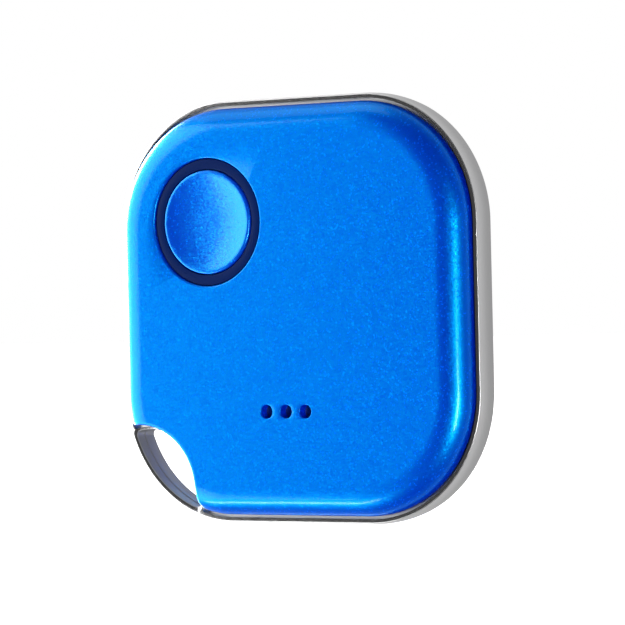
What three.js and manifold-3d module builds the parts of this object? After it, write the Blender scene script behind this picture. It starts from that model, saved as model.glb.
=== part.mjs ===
// A small square tracker tag: a pebble-shaped blue case in a metal band that runs on past one
// cut-away corner as a key loop, with a round push button, a buzzer and a coin cell inside.
// Millimetres. The finished part stands upright: the front faces -Y, the back faces +Y, and the
// bottom edge of the band is at Z = 0. Every piece is first shaped lying down, seen from the
// front: x to the right, y up, and z the height above the back face.

import * as THREE from "three";
import { mergeVertices } from "three/addons/utils/BufferGeometryUtils.js";
import Module from "manifold-3d";

const wasm = await Module();
wasm.setup();

// ---- driving sizes -----------------------------------------------------------------------
const THICKNESS = 6.0;
const WALL = 0.9;
const BACK_WALL = 0.7;

// The gap between pieces that slide past each other, and between pieces that only touch.
const CLEARANCE = 0.05;
const TOUCH = 0.03;
// How far two solids that are joined into one piece run into each other.
const OVERLAP = 0.2;
// Further out than any edge, for tools that cut right across.
const BEYOND = 20;

const BAND = {
  half: 18.0, corner: 11.0, back: 1.85, front: 4.15,
  ease: 0.3, lip: 0.3, lipDepth: 0.5, wide: 1.0,
};
const CASE = { half: 17.46, corner: 10.6, edgeWide: 2.4, edgeHigh: 2.0, backWide: 1.8, backHigh: 1.6 };
const NOTCH = { x: -15.35, y: -15.3, caseRadius: 5.7, ease: 0.3, bandRadius: 5.25, lip: 0.25, wall: 0.85 };
const LOOP = { thick: 0.75, step: 0.12, stepZ: 3.2 };
const SKIRT = { outer: 16.9, inner: 16.3, gap: 0.1, straight: 7.0 };
const PRY_SLOT = { halfWide: 2.2, deep: 0.45, high: 0.55 };
const BUTTON = { x: -7.7, y: 7.65, ringOuter: 5.44, capRadius: 4.42, dish: 0.4 };
const SOUND = { x: 0, y: -8.49, pitch: 1.95, holeRadius: 0.57, meshRadius: 1.1, meshThick: 0.09 };
const BATTERY = { x: 4.0, y: 0.6, radius: 10.0, height: 3.2, back: 0.75 };
const BOARD = { half: 15.9, corner: 9.1, back: 2.7, front: 3.3, rightEnd: 9.5, topEnd: 3.0 };
const PLATE = { half: 16.0, corner: 9.2, back: 4.2, front: 4.6 };

// Facets: half the steps in a quarter turn of an outline, and the sides of round pieces.
const ARC_STEPS = 6;
const FINE_STEPS = 8;
const EDGE_RINGS = 4;
const EASE_RINGS = 3;
const WIDE_SIDES = 44;
const MID_SIDES = 32;
const SMALL_SIDES = 16;

// ---- heights worked out from the driving sizes -------------------------------------------
const LEDGE_FRONT = BAND.front - BAND.lipDepth;
const LEDGE_BACK = BAND.back + BAND.lipDepth;
const FRONT_RIM = LEDGE_FRONT + CLEARANCE;
const BACK_RIM = LEDGE_BACK - CLEARANCE;
const CEILING = THICKNESS - WALL;
const MIDDLE = (LEDGE_FRONT + LEDGE_BACK) / 2;
const CAVITY_HALF = CASE.half - WALL;
const CAVITY_CORNER = CASE.corner - WALL;

// ---- materials -----------------------------------------------------------------------------
function finish(color, roughness, metalness) {
  return new THREE.MeshStandardMaterial({ color, roughness, metalness });
}
const BLUE_CASE = () => finish(0x0285f3, 0.28, 0.25);
const BLUE_BUTTON = () => finish(0x0474ee, 0.25, 0.25);
const DARK_RING = () => finish(0x040a3a, 0.2, 0.0);
const SILVER = () => finish(0xc3c3c5, 0.3, 0.9);
const BLACK_PLASTIC = () => finish(0x1d1e21, 0.6, 0.0);
const GREY_PLASTIC = () => finish(0x3a3c40, 0.6, 0.0);
const BOARD_GREEN = () => finish(0x0f4a35, 0.45, 0.0);
const STEEL = () => finish(0xb9bbbe, 0.32, 0.9);
const BRASS = () => finish(0xc79a45, 0.35, 0.9);
const CERAMIC = () => finish(0xe2ddd0, 0.5, 0.0);
const TAN_CERAMIC = () => finish(0xa57c55, 0.5, 0.0);
const MESH_CLOTH = () => finish(0x0a0c14, 0.9, 0.0);

// ---- solids ----------------------------------------------------------------------------------
// Turns a closed three.js geometry into a manifold solid with its faces pointing out.
function solid(geometry) {
  const bare = geometry.clone();
  bare.deleteAttribute("normal");
  bare.deleteAttribute("uv");
  const merged = mergeVertices(bare, 1e-4);
  const points = merged.attributes.position;
  const index = merged.index.array;
  const triangles = [];
  let volume = 0;
  const [a, b, c] = [new THREE.Vector3(), new THREE.Vector3(), new THREE.Vector3()];
  for (let i = 0; i < index.length; i += 3) {
    const [p, q, r] = [index[i], index[i + 1], index[i + 2]];
    if (p === q || q === r || r === p) continue;
    triangles.push([p, q, r]);
    a.fromBufferAttribute(points, p);
    b.fromBufferAttribute(points, q);
    c.fromBufferAttribute(points, r);
    volume += a.dot(b.cross(c));
  }
  const outward = volume > 0 ? triangles : triangles.map(([p, q, r]) => [p, r, q]);
  return new wasm.Manifold(new wasm.Mesh({
    numProp: 3,
    vertProperties: new Float32Array(points.array),
    triVerts: new Uint32Array(outward.flat()),
  }));
}

function join(first, ...others) {
  return others.reduce((whole, other) => whole.add(other), first);
}

function cut(first, ...others) {
  return others.reduce((whole, other) => whole.subtract(other), first);
}

function common(first, ...others) {
  return others.reduce((whole, other) => whole.intersect(other), first);
}

// A square with round corners, as an outline.
function roundedSquare(half, corner) {
  const straight = half - corner;
  const quarter = Math.PI / 2;
  const shape = new THREE.Shape();
  shape.absarc(straight, straight, corner, 0, quarter);
  shape.absarc(-straight, straight, corner, quarter, 2 * quarter);
  shape.absarc(-straight, -straight, corner, 2 * quarter, 3 * quarter);
  shape.absarc(straight, -straight, corner, 3 * quarter, 4 * quarter);
  shape.closePath();
  return shape;
}

// A straight-sided block over an outline, from one height to another.
function block(outline, low, high, steps = ARC_STEPS) {
  const geometry = new THREE.ExtrudeGeometry(outline, {
    depth: high - low,
    bevelEnabled: false,
    curveSegments: steps,
  });
  geometry.translate(0, 0, low);
  return solid(geometry);
}

// A block over an outline with both its rims rounded, wide mm in from the side and high mm deep.
function pebble(outline, low, high, wide, deep, rings) {
  const geometry = new THREE.ExtrudeGeometry(outline, {
    depth: high - low - 2 * deep,
    bevelEnabled: true,
    bevelThickness: deep,
    bevelSize: wide,
    bevelOffset: -wide,
    bevelSegments: rings,
    curveSegments: ARC_STEPS,
  });
  geometry.translate(0, 0, low + deep);
  return solid(geometry);
}

// A turned solid about an upright axis at x, y. The profile is a list of [radius, height].
function turned(x, y, profile, segments = MID_SIDES) {
  const first = profile[0];
  const last = profile[profile.length - 1];
  const closed = first[0] === 0 && last[0] === 0 ? profile : [...profile, first];
  const points = closed.map(([radius, height]) => new THREE.Vector2(radius, height));
  const geometry = new THREE.LatheGeometry(points, segments);
  geometry.rotateX(Math.PI / 2);
  geometry.translate(x, y, 0);
  return solid(geometry);
}

function disc(x, y, radius, low, high, segments = MID_SIDES) {
  return turned(x, y, [[0, low], [radius, low], [radius, high], [0, high]], segments);
}

function ring(x, y, inner, outer, low, high, segments = MID_SIDES) {
  return turned(x, y, [[inner, low], [outer, low], [outer, high], [inner, high]], segments);
}

// A plain rectangular block between two corners.
function box(x0, y0, z0, x1, y1, z1) {
  const geometry = new THREE.BoxGeometry(x1 - x0, y1 - y0, z1 - z0);
  geometry.translate((x0 + x1) / 2, (y0 + y1) / 2, (z0 + z1) / 2);
  return solid(geometry);
}

// A named mesh of a finished solid.
function piece(name, shape, material) {
  const mesh = shape.getMesh();
  const geometry = new THREE.BufferGeometry();
  geometry.setAttribute("position", new THREE.BufferAttribute(new Float32Array(mesh.vertProperties), 3));
  geometry.setIndex(new THREE.BufferAttribute(new Uint32Array(mesh.triVerts), 1));
  geometry.computeVertexNormals();
  const part = new THREE.Mesh(geometry, material);
  part.name = name;
  return part;
}

const notchDisc = (radius, low, high) => disc(NOTCH.x, NOTCH.y, radius, low, high, WIDE_SIDES);

// ---- case ------------------------------------------------------------------------------------
// The tool that cuts the corner out of a cover, easing the cut where it meets the outer face.
function notchCutter(rim, face) {
  const inward = Math.sign(rim - face);
  const start = face + inward * NOTCH.ease;
  const profile = [[0, rim + inward], [NOTCH.caseRadius, rim + inward]];
  for (let i = 0; i <= EASE_RINGS; i += 1) {
    const turn = (i / EASE_RINGS) * (Math.PI / 2);
    const out = NOTCH.ease * (1 - Math.cos(turn));
    profile.push([NOTCH.caseRadius + out, start - inward * NOTCH.ease * Math.sin(turn)]);
  }
  profile.push([NOTCH.caseRadius + NOTCH.ease, face - inward], [0, face - inward]);
  return turned(NOTCH.x, NOTCH.y, profile, WIDE_SIDES);
}

// The short wall under a cover's rim, which snaps inside the band.
function snapSkirt(low, high) {
  const outer = block(roundedSquare(SKIRT.outer, SKIRT.outer - SKIRT.straight), low, high);
  const inner = block(roundedSquare(SKIRT.inner, SKIRT.inner - SKIRT.straight), low - 1, high + 1);
  const bandWall = notchDisc(NOTCH.bandRadius + BAND.wide + CLEARANCE, low - 1, high + 1);
  return cut(outer, inner, bandWall);
}

// A rounded pebble that runs on past a cover's rim is cut off flat at the rim and hollowed. The
// fillets of the pebble and its hollow lie beyond the rim on the open side.
const PEBBLE_TAIL = 4;
const HOLLOW_TAIL = 3;

function frontCover() {
  const outline = roundedSquare(CASE.half, CASE.corner);
  const below = FRONT_RIM - PEBBLE_TAIL;
  const whole = pebble(outline, below, THICKNESS, CASE.edgeWide, CASE.edgeHigh, EDGE_RINGS);
  const tail = box(-BEYOND, -BEYOND, below - 1, BEYOND, BEYOND, FRONT_RIM);
  const shell = cut(whole, tail, notchCutter(FRONT_RIM, THICKNESS));
  const cavity = roundedSquare(CAVITY_HALF, CAVITY_CORNER);
  const hollow = pebble(cavity, FRONT_RIM - HOLLOW_TAIL, CEILING, WALL, WALL, 1);
  const notchWall = notchDisc(NOTCH.caseRadius + NOTCH.wall, below, THICKNESS);
  const buttonHole = disc(BUTTON.x, BUTTON.y, BUTTON.ringOuter, CEILING - 1, THICKNESS + 1, WIDE_SIDES);
  const soundHoles = [-1, 0, 1].map((step) =>
    disc(SOUND.x + step * SOUND.pitch, SOUND.y, SOUND.holeRadius, CEILING - 1, THICKNESS + 1, SMALL_SIDES));
  const hollowed = cut(shell, cut(hollow, notchWall), buttonHole, ...soundHoles);
  const chamberRib = ring(SOUND.x, SOUND.y, PIEZO.radius + CLEARANCE, PIEZO.ribRadius,
    PLATE.front + CLEARANCE, CEILING + OVERLAP);
  const pins = COVER_PINS.map(([x, y]) => coverPin(x, y));
  return join(hollowed, snapSkirt(MIDDLE + SKIRT.gap / 2, FRONT_RIM + OVERLAP), chamberRib, ...pins);
}

// A pin that comes down from the cover through the carrier plate and ends in a melted head.
function coverPin(x, y) {
  const { radius, head, headThick } = COVER_PIN;
  const headTop = PLATE.back - CLEARANCE;
  const headBack = headTop - headThick;
  const root = CEILING + OVERLAP;
  const profile = [[0, headBack], [head, headBack], [head, headTop], [radius, headTop],
    [radius, root], [0, root]];
  return turned(x, y, profile, SMALL_SIDES);
}

function backCover() {
  const outline = roundedSquare(CASE.half, CASE.corner);
  const above = BACK_RIM + PEBBLE_TAIL;
  const whole = pebble(outline, 0, above, CASE.backWide, CASE.backHigh, EDGE_RINGS);
  const tail = box(-BEYOND, -BEYOND, BACK_RIM, BEYOND, BEYOND, above + 1);
  const shell = cut(whole, tail, notchCutter(BACK_RIM, 0));
  const cavity = roundedSquare(CAVITY_HALF, CAVITY_CORNER);
  const hollow = pebble(cavity, BACK_WALL, BACK_RIM + HOLLOW_TAIL, WALL, WALL, 1);
  const notchWall = notchDisc(NOTCH.caseRadius + NOTCH.wall, -1, above);
  const prySlot = box(-PRY_SLOT.halfWide, -BEYOND, BACK_RIM - PRY_SLOT.high,
    PRY_SLOT.halfWide, -CASE.half + PRY_SLOT.deep, BACK_RIM + 1);
  const cellRib = ring(BATTERY.x, BATTERY.y, CELL_RIB.inner, CELL_RIB.outer,
    BACK_WALL - OVERLAP, BACK_WALL + CELL_RIB.high);
  const shelled = cut(shell, cut(hollow, notchWall));
  const skirt = snapSkirt(BACK_RIM - OVERLAP, MIDDLE - SKIRT.gap / 2);
  return cut(join(shelled, skirt, cellRib), prySlot);
}

// The metal band: a lip in front and behind, a thicker middle that both covers snap into, the
// hollow wall along the notch, and the thin key loop that closes the corner.
function trimBand() {
  const inset = (amount, low, high) =>
    block(roundedSquare(BAND.half - amount, BAND.corner - amount), low, high);
  const outline = roundedSquare(BAND.half, BAND.corner);
  const whole = pebble(outline, BAND.back, BAND.front, BAND.ease, BAND.ease, 2);
  const [under, over] = [BAND.back - 1, BAND.front + 1];
  const lipWall = notchDisc(NOTCH.bandRadius + NOTCH.lip, under - 1, over + 1);
  const thickWall = notchDisc(NOTCH.bandRadius + BAND.wide - CLEARANCE, under - 1, over + 1);
  const middle = cut(inset(BAND.wide, under, over), thickWall);
  const frontRecess = cut(inset(BAND.lip, LEDGE_FRONT, over), lipWall);
  const backRecess = cut(inset(BAND.lip, under, LEDGE_BACK), lipWall);
  const notch = notchDisc(NOTCH.bandRadius, under, over);
  const loopGap = common(inset(LOOP.thick, under, over), notch);
  const loopStep = common(inset(LOOP.thick - LOOP.step, LOOP.stepZ, over), notch);
  return cut(whole, middle, frontRecess, backRecess, loopGap, loopStep);
}

// ---- button ----------------------------------------------------------------------------------
const CAP = {
  rim: 5.95, rimWide: 0.4, chamfer: 0.15, boss: 0.9, bossBack: 4.33,
  flange: 5.0, flangeTop: 4.78, flangeBack: 4.5,
};
const CAP_HOLLOW = { radius: 3.9, top: 5.0 };
const RING = { gap: 0.08, flange: 6.1, flangeThick: 0.23, front: 5.8 };

// The cap has a dished top, a flange that the ring holds back, and a boss over the switch.
function buttonCap() {
  const profile = [[0, CAP.bossBack], [CAP.boss, CAP.bossBack], [CAP.boss, CAP_HOLLOW.top],
    [CAP_HOLLOW.radius, CAP_HOLLOW.top], [CAP_HOLLOW.radius, CAP.flangeBack],
    [CAP.flange, CAP.flangeBack],
    [CAP.flange, CAP.flangeTop], [BUTTON.capRadius, CAP.flangeTop],
    [BUTTON.capRadius, CAP.rim - CAP.chamfer], [BUTTON.capRadius - CAP.chamfer, CAP.rim]];
  const dishRadius = BUTTON.capRadius - CAP.rimWide;
  for (let i = EASE_RINGS; i >= 0; i -= 1) {
    const share = i / EASE_RINGS;
    profile.push([dishRadius * share, CAP.rim - BUTTON.dish * (1 - share * share)]);
  }
  return turned(BUTTON.x, BUTTON.y, profile, WIDE_SIDES);
}

// The dark ring that fills the gap round the cap, set back from the face, with a flange inside.
function buttonRing() {
  const inner = BUTTON.capRadius + RING.gap;
  const outer = BUTTON.ringOuter - CLEARANCE;
  const flangeTop = CEILING - CLEARANCE;
  const flangeBack = flangeTop - RING.flangeThick;
  const profile = [[inner, flangeBack], [RING.flange, flangeBack], [RING.flange, flangeTop],
    [outer, flangeTop], [outer, RING.front], [inner, RING.front]];
  return turned(BUTTON.x, BUTTON.y, profile, WIDE_SIDES);
}

const SWITCH = {
  half: 1.7, back: BOARD.front + TOUCH, front: 3.95,
  holeRadius: 1.0, holeBack: 3.5, plateThick: 0.1, plateHole: 1.15,
};
const PLUNGER = { radius: 0.85, tip: 0.7, back: 3.85, round: 0.15 };

function switchBody() {
  const body = box(BUTTON.x - SWITCH.half, BUTTON.y - SWITCH.half, SWITCH.back,
    BUTTON.x + SWITCH.half, BUTTON.y + SWITCH.half, SWITCH.front);
  const well = disc(BUTTON.x, BUTTON.y, SWITCH.holeRadius, SWITCH.holeBack, SWITCH.front + 1, SMALL_SIDES);
  return cut(body, well);
}

function switchPlate() {
  const low = SWITCH.front + TOUCH;
  const high = low + SWITCH.plateThick;
  const plate = box(BUTTON.x - SWITCH.half, BUTTON.y - SWITCH.half, low,
    BUTTON.x + SWITCH.half, BUTTON.y + SWITCH.half, high);
  return cut(plate, disc(BUTTON.x, BUTTON.y, SWITCH.plateHole, low - 1, high + 1, SMALL_SIDES));
}

function switchPlunger() {
  const { radius, tip, back, round } = PLUNGER;
  const top = CAP.bossBack - TOUCH;
  const profile = [[0, back], [radius, back], [radius, top - round], [tip, top], [0, top]];
  return turned(BUTTON.x, BUTTON.y, profile, SMALL_SIDES);
}

// ---- buzzer ----------------------------------------------------------------------------------
const PIEZO = {
  radius: 6.0, ceramicRadius: 4.2, ribRadius: 6.6, back: PLATE.front + CLEARANCE, thick: 0.15,
};
const CERAMIC_FRONT = PIEZO.back - TOUCH;
const CERAMIC_BACK = CERAMIC_FRONT - PIEZO.thick;

function piezoPlate() {
  return disc(SOUND.x, SOUND.y, PIEZO.radius, PIEZO.back, PIEZO.back + PIEZO.thick);
}

function piezoCeramic() {
  return disc(SOUND.x, SOUND.y, PIEZO.ceramicRadius, CERAMIC_BACK, CERAMIC_FRONT);
}

// A sprung contact from the circuit board up to the buzzer: a foot, a waisted middle and a tip.
function piezoSpring(x, y, top) {
  const low = BOARD.front + TOUCH;
  const [foot, waist, belly, tip] = [0.55, 0.3, 0.45, 0.4];
  const profile = [[0, low], [foot, low], [foot, low + 0.15], [waist, low + 0.25],
    [belly, (low + top) / 2], [waist, top - 0.2], [tip, top - 0.1], [waist, top], [0, top]];
  return turned(x, y, profile, SMALL_SIDES);
}

// The dust mesh behind the three sound holes, a flat strip with round ends.
function soundMesh() {
  const quarter = Math.PI / 2;
  const front = CEILING - TOUCH;
  const strip = new THREE.Shape();
  strip.absarc(SOUND.x + SOUND.pitch, SOUND.y, SOUND.meshRadius, -quarter, quarter);
  strip.absarc(SOUND.x - SOUND.pitch, SOUND.y, SOUND.meshRadius, quarter, 3 * quarter);
  strip.closePath();
  return block(strip, front - SOUND.meshThick, front, FINE_STEPS);
}

// ---- carrier and board -----------------------------------------------------------------------
const COVER_PINS = [[12.0, 11.8], [12.6, -10.6], [-12.9, 1.5]];
const COVER_PIN = { radius: 0.55, hole: 0.65, head: 0.9, headThick: 0.25 };
const BOARD_POSTS = [[-12.4, 11.5], [7.5, -13.2], [-13.6, -4.5]];
const POST = { radius: 0.6, hole: 0.72, head: 1.0, headThick: 0.3 };
const CELL_RIB = { inner: BATTERY.radius + 0.3, outer: BATTERY.radius + 0.8, high: 0.35 };
const CELL_WALL = { inner: BATTERY.radius + 0.15, outer: BATTERY.radius + 0.75, back: 1.2 };
const CELL_WINDOW = { back: 1.0, front: 2.95, margin: 4 };
const LEAF_SLOT = { deep: 0.35, margin: 0.3 };
// Angles are in degrees round the cell, counted from +x.
const CONTACT = { angle: 200, half: 12, footMargin: 5, footWide: 2.4, thick: 0.15, wide: 2.0, back: 1.25 };
const NEGATIVE_STEP = 1.8;

// A piece of a ring about the coin cell, between two angles in degrees.
function cellArc(inner, outer, low, high, from, to) {
  const [start, end] = [THREE.MathUtils.degToRad(from), THREE.MathUtils.degToRad(to)];
  const shape = new THREE.Shape();
  shape.absarc(BATTERY.x, BATTERY.y, outer, start, end);
  shape.absarc(BATTERY.x, BATTERY.y, inner, end, start, true);
  shape.closePath();
  return block(shape, low, high, FINE_STEPS);
}

// The carrier: a plate under the front cover, the round wall that holds the coin cell, and the
// posts that the circuit board is staked on.
function carrier() {
  const plate = block(roundedSquare(PLATE.half, PLATE.corner), PLATE.back, PLATE.front);
  const [under, over] = [PLATE.back - 1, PLATE.front + 1];
  const root = PLATE.back + 0.1;
  const cellWall = ring(BATTERY.x, BATTERY.y, CELL_WALL.inner, CELL_WALL.outer,
    CELL_WALL.back, root, WIDE_SIDES);
  const posts = BOARD_POSTS.map(([x, y]) => boardPost(x, y, root));
  const pinHoles = COVER_PINS.map(([x, y]) => disc(x, y, COVER_PIN.hole, under, over, SMALL_SIDES));
  const buttonHole = disc(BUTTON.x, BUTTON.y, CAP.flange + 0.3, under, over);
  const buzzerRadius = PIEZO.radius - 0.5;
  const buzzerHole = disc(SOUND.x, SOUND.y, buzzerRadius, root, over);
  const buzzerWell = cut(disc(SOUND.x, SOUND.y, buzzerRadius, under, over),
    disc(BATTERY.x, BATTERY.y, CELL_WALL.outer, under - 1, over + 1, WIDE_SIDES));
  const halfWindow = CONTACT.half + CELL_WINDOW.margin;
  const cellWindow = cellArc(BATTERY.radius - 1, BATTERY.radius + 2, CELL_WINDOW.back, CELL_WINDOW.front,
    CONTACT.angle - halfWindow, CONTACT.angle + halfWindow);
  const cellLeft = BATTERY.x - BATTERY.radius;
  const halfSlot = CONTACT.wide / 2 + LEAF_SLOT.margin;
  const leafSlot = box(cellLeft - 1, BATTERY.y - halfSlot, PLATE.back - LEAF_SLOT.deep,
    cellLeft + 0.2, BATTERY.y + halfSlot, PLATE.back);
  const notch = notchDisc(NOTCH.caseRadius + NOTCH.wall + 0.15, 0, THICKNESS);
  return cut(join(plate, cellWall, ...posts), ...pinHoles, buttonHole, buzzerHole, buzzerWell,
    cellWindow, leafSlot, notch);
}

// A post that comes down from the plate through the board and ends in a melted head.
function boardPost(x, y, root) {
  const headTop = BOARD.back - CLEARANCE;
  const headBack = headTop - POST.headThick;
  const profile = [[0, headBack], [POST.head, headBack], [POST.head, headTop],
    [POST.radius, headTop], [POST.radius, root], [0, root]];
  return turned(x, y, profile, SMALL_SIDES);
}

// The board runs down the left side and along the bottom, round the coin cell.
function circuitBoard() {
  const [low, high] = [BOARD.back - 1, BOARD.front + 1];
  const blank = block(roundedSquare(BOARD.half, BOARD.corner), BOARD.back, BOARD.front);
  const cellHole = disc(BATTERY.x, BATTERY.y, BATTERY.radius + 0.95, low, high, WIDE_SIDES);
  const notch = notchDisc(NOTCH.caseRadius + NOTCH.wall + 0.2, low, high);
  const rightSide = box(BOARD.rightEnd, -BEYOND, low, BEYOND, BEYOND, high);
  const topRight = box(BOARD.topEnd, 0, low, BEYOND, BEYOND, high);
  const postHoles = BOARD_POSTS.map(([x, y]) => disc(x, y, POST.hole, low, high, SMALL_SIDES));
  return cut(blank, cellHole, notch, rightSide, topRight, ...postHoles);
}

// The spring leaf on the side of the can, with its foot under the board.
function positiveContact() {
  const inner = BATTERY.radius + 0.05;
  const [from, to] = [CONTACT.angle - CONTACT.half, CONTACT.angle + CONTACT.half];
  const footTop = BOARD.back - CLEARANCE;
  const leaf = cellArc(inner, inner + CONTACT.thick, CONTACT.back, footTop, from, to);
  const foot = cellArc(inner, inner + CONTACT.footWide, footTop - CONTACT.thick, footTop,
    from + CONTACT.footMargin, to - CONTACT.footMargin);
  return join(leaf, foot);
}

// The leaf over the middle of the cell, with a step down to its foot on the board.
function negativeContact() {
  const [y0, y1] = [BATTERY.y - CONTACT.wide / 2, BATTERY.y + CONTACT.wide / 2];
  const top = PLATE.back - CLEARANCE;
  const stepX = BATTERY.x - BATTERY.radius - NEGATIVE_STEP;
  const footBack = BOARD.front + TOUCH;
  const leaf = box(stepX, y0, top - CONTACT.thick, BATTERY.x + 1, y1, top);
  const riser = box(stepX, y0, footBack, stepX + CONTACT.thick, y1, top);
  const foot = box(stepX - NEGATIVE_STEP, y0, footBack,
    stepX + CONTACT.thick, y1, footBack + CONTACT.thick);
  return join(leaf, riser, foot);
}

// ---- coin cell -------------------------------------------------------------------------------
const CELL_FRONT = BATTERY.back + BATTERY.height;
const CAN = { wall: 0.25, mouth: 9.45, round: 0.3, shoulder: CELL_FRONT - 0.55, crimp: 0.2 };
const GASKET = { inner: 8.95, outer: 9.4, back: 1.3, front: CELL_FRONT - 0.45 };
const CELL_CAP = { radius: 8.9, back: 1.35, chamfer: 0.35, round: 0.15 };
const CORE = { radius: 8.45, gap: 0.05 };

// The can is a shallow cup, open to the front, with its rim crimped in.
function batteryCan() {
  const { x, y, radius, back } = BATTERY;
  const { wall, mouth, round, shoulder, crimp } = CAN;
  const profile = [[0, back], [radius - round, back], [radius, back + round],
    [radius, shoulder - crimp], [radius - crimp, shoulder], [mouth, shoulder],
    [mouth, back + wall], [0, back + wall]];
  return turned(x, y, profile, WIDE_SIDES);
}

function batteryGasket() {
  return ring(BATTERY.x, BATTERY.y, GASKET.inner, GASKET.outer, GASKET.back, GASKET.front, WIDE_SIDES);
}

// The cap is a smaller cup the other way round, inside the can, with the gasket between them.
function batteryCap() {
  const { radius, back, chamfer, round } = CELL_CAP;
  const inner = radius - CAN.wall;
  const inside = CELL_FRONT - CAN.wall;
  const profile = [[radius, back], [radius, CELL_FRONT - chamfer], [inner, CELL_FRONT], [0, CELL_FRONT],
    [0, inside], [inner - round, inside], [inner, inside - CORE.gap - round], [inner, back]];
  return turnedCup(BATTERY.x, BATTERY.y, profile, WIDE_SIDES);
}

// A turned cup whose profile leaves the axis and comes back to it partway through the list.
function turnedCup(x, y, profile, segments) {
  const axisAt = profile.findIndex(([radius]) => radius === 0) + 1;
  return turned(x, y, [...profile.slice(axisAt), ...profile.slice(0, axisAt)], segments);
}

function batteryCore() {
  const inset = CAN.wall + CORE.gap;
  return disc(BATTERY.x, BATTERY.y, CORE.radius, BATTERY.back + inset, CELL_FRONT - inset);
}

// ---- board components ------------------------------------------------------------------------
// Each stands on the back of the board, on the side the cell is changed from, unless it says front.
const COMPONENTS = [
  { name: "radio_chip", at: [-11.2, 0.5], size: [5.0, 5.0, 0.75], material: BLACK_PLASTIC },
  { name: "main_crystal", at: [-11.4, 5.0], size: [2.0, 1.6, 0.5], material: STEEL },
  { name: "clock_crystal", at: [-9.6, -6.6], size: [3.2, 1.5, 0.7], material: STEEL },
  { name: "chip_antenna", at: [-14.8, 4.6], size: [1.4, 4.4, 0.8], material: CERAMIC },
  { name: "driver_chip", at: [3.4, -13.2], size: [2.6, 2.6, 0.7], material: BLACK_PLASTIC },
  { name: "inductor", at: [-3.9, -13.0], size: [2.5, 2.2, 1.2], material: GREY_PLASTIC },
  { name: "status_led", at: [-12.5, 6.3], size: [1.0, 1.6, 0.5], material: CERAMIC, front: true },
];
const CHIP_CAPACITORS = [
  [-7.9, 12.4], [-6.3, 12.4], [-8.2, 2.8], [-8.2, -3.2], [-0.9, -13.6], [0.5, -12.4],
];
const CHIP_RESISTORS = [[-4.7, 12.4], [-14.8, -1.0], [-6.4, -9.6], [6.3, -11.2]];
const CHIP_SIZE = [0.6, 1.1, 0.5];

function component({ name, at, size, material, front }) {
  const [wide, tall, high] = size;
  const base = front ? BOARD.front + TOUCH : BOARD.back - TOUCH - high;
  const shape = box(-wide / 2, -tall / 2, 0, wide / 2, tall / 2, high);
  const part = piece(name, shape, material());
  part.position.set(at[0], at[1], base);
  return part;
}

function smallChips(label, places, material) {
  return places.map((at, i) => component({ name: `${label}_${i + 1}`, at, size: CHIP_SIZE, material }));
}

// ---- assembly --------------------------------------------------------------------------------
const lyingDown = new THREE.Group();
lyingDown.add(
  piece("front_cover", frontCover(), BLUE_CASE()),
  piece("back_cover", backCover(), BLUE_CASE()),
  piece("trim_frame", trimBand(), SILVER()),
  piece("button_cap", buttonCap(), BLUE_BUTTON()),
  piece("button_ring", buttonRing(), DARK_RING()),
  piece("switch_body", switchBody(), BLACK_PLASTIC()),
  piece("switch_plate", switchPlate(), STEEL()),
  piece("switch_plunger", switchPlunger(), GREY_PLASTIC()),
  piece("piezo_plate", piezoPlate(), BRASS()),
  piece("piezo_ceramic", piezoCeramic(), CERAMIC()),
  piece("piezo_spring_1", piezoSpring(-1.2, -13.2, PIEZO.back - TOUCH), STEEL()),
  piece("piezo_spring_2", piezoSpring(1.6, -12.0, CERAMIC_BACK - TOUCH), STEEL()),
  piece("sound_mesh", soundMesh(), MESH_CLOTH()),
  piece("carrier", carrier(), GREY_PLASTIC()),
  piece("circuit_board", circuitBoard(), BOARD_GREEN()),
  piece("contact_positive", positiveContact(), BRASS()),
  piece("contact_negative", negativeContact(), BRASS()),
  piece("battery_can", batteryCan(), STEEL()),
  piece("battery_gasket", batteryGasket(), BLACK_PLASTIC()),
  piece("battery_cap", batteryCap(), STEEL()),
  piece("battery_core", batteryCore(), GREY_PLASTIC()),
  ...COMPONENTS.map(component),
  ...smallChips("capacitor", CHIP_CAPACITORS, TAN_CERAMIC),
  ...smallChips("resistor", CHIP_RESISTORS, BLACK_PLASTIC),
);

// Standing up: the lying part's height becomes depth towards -Y, and its middle goes to Y = 0.
lyingDown.rotation.x = Math.PI / 2;
lyingDown.position.set(0, THICKNESS / 2, BAND.half);

const tag = new THREE.Group();
tag.add(lyingDown);

export default tag;
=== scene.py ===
import math

import bmesh
import bpy
import numpy as np
from mathutils import Matrix, Vector
from mathutils.geometry import delaunay_2d_cdt


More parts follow.
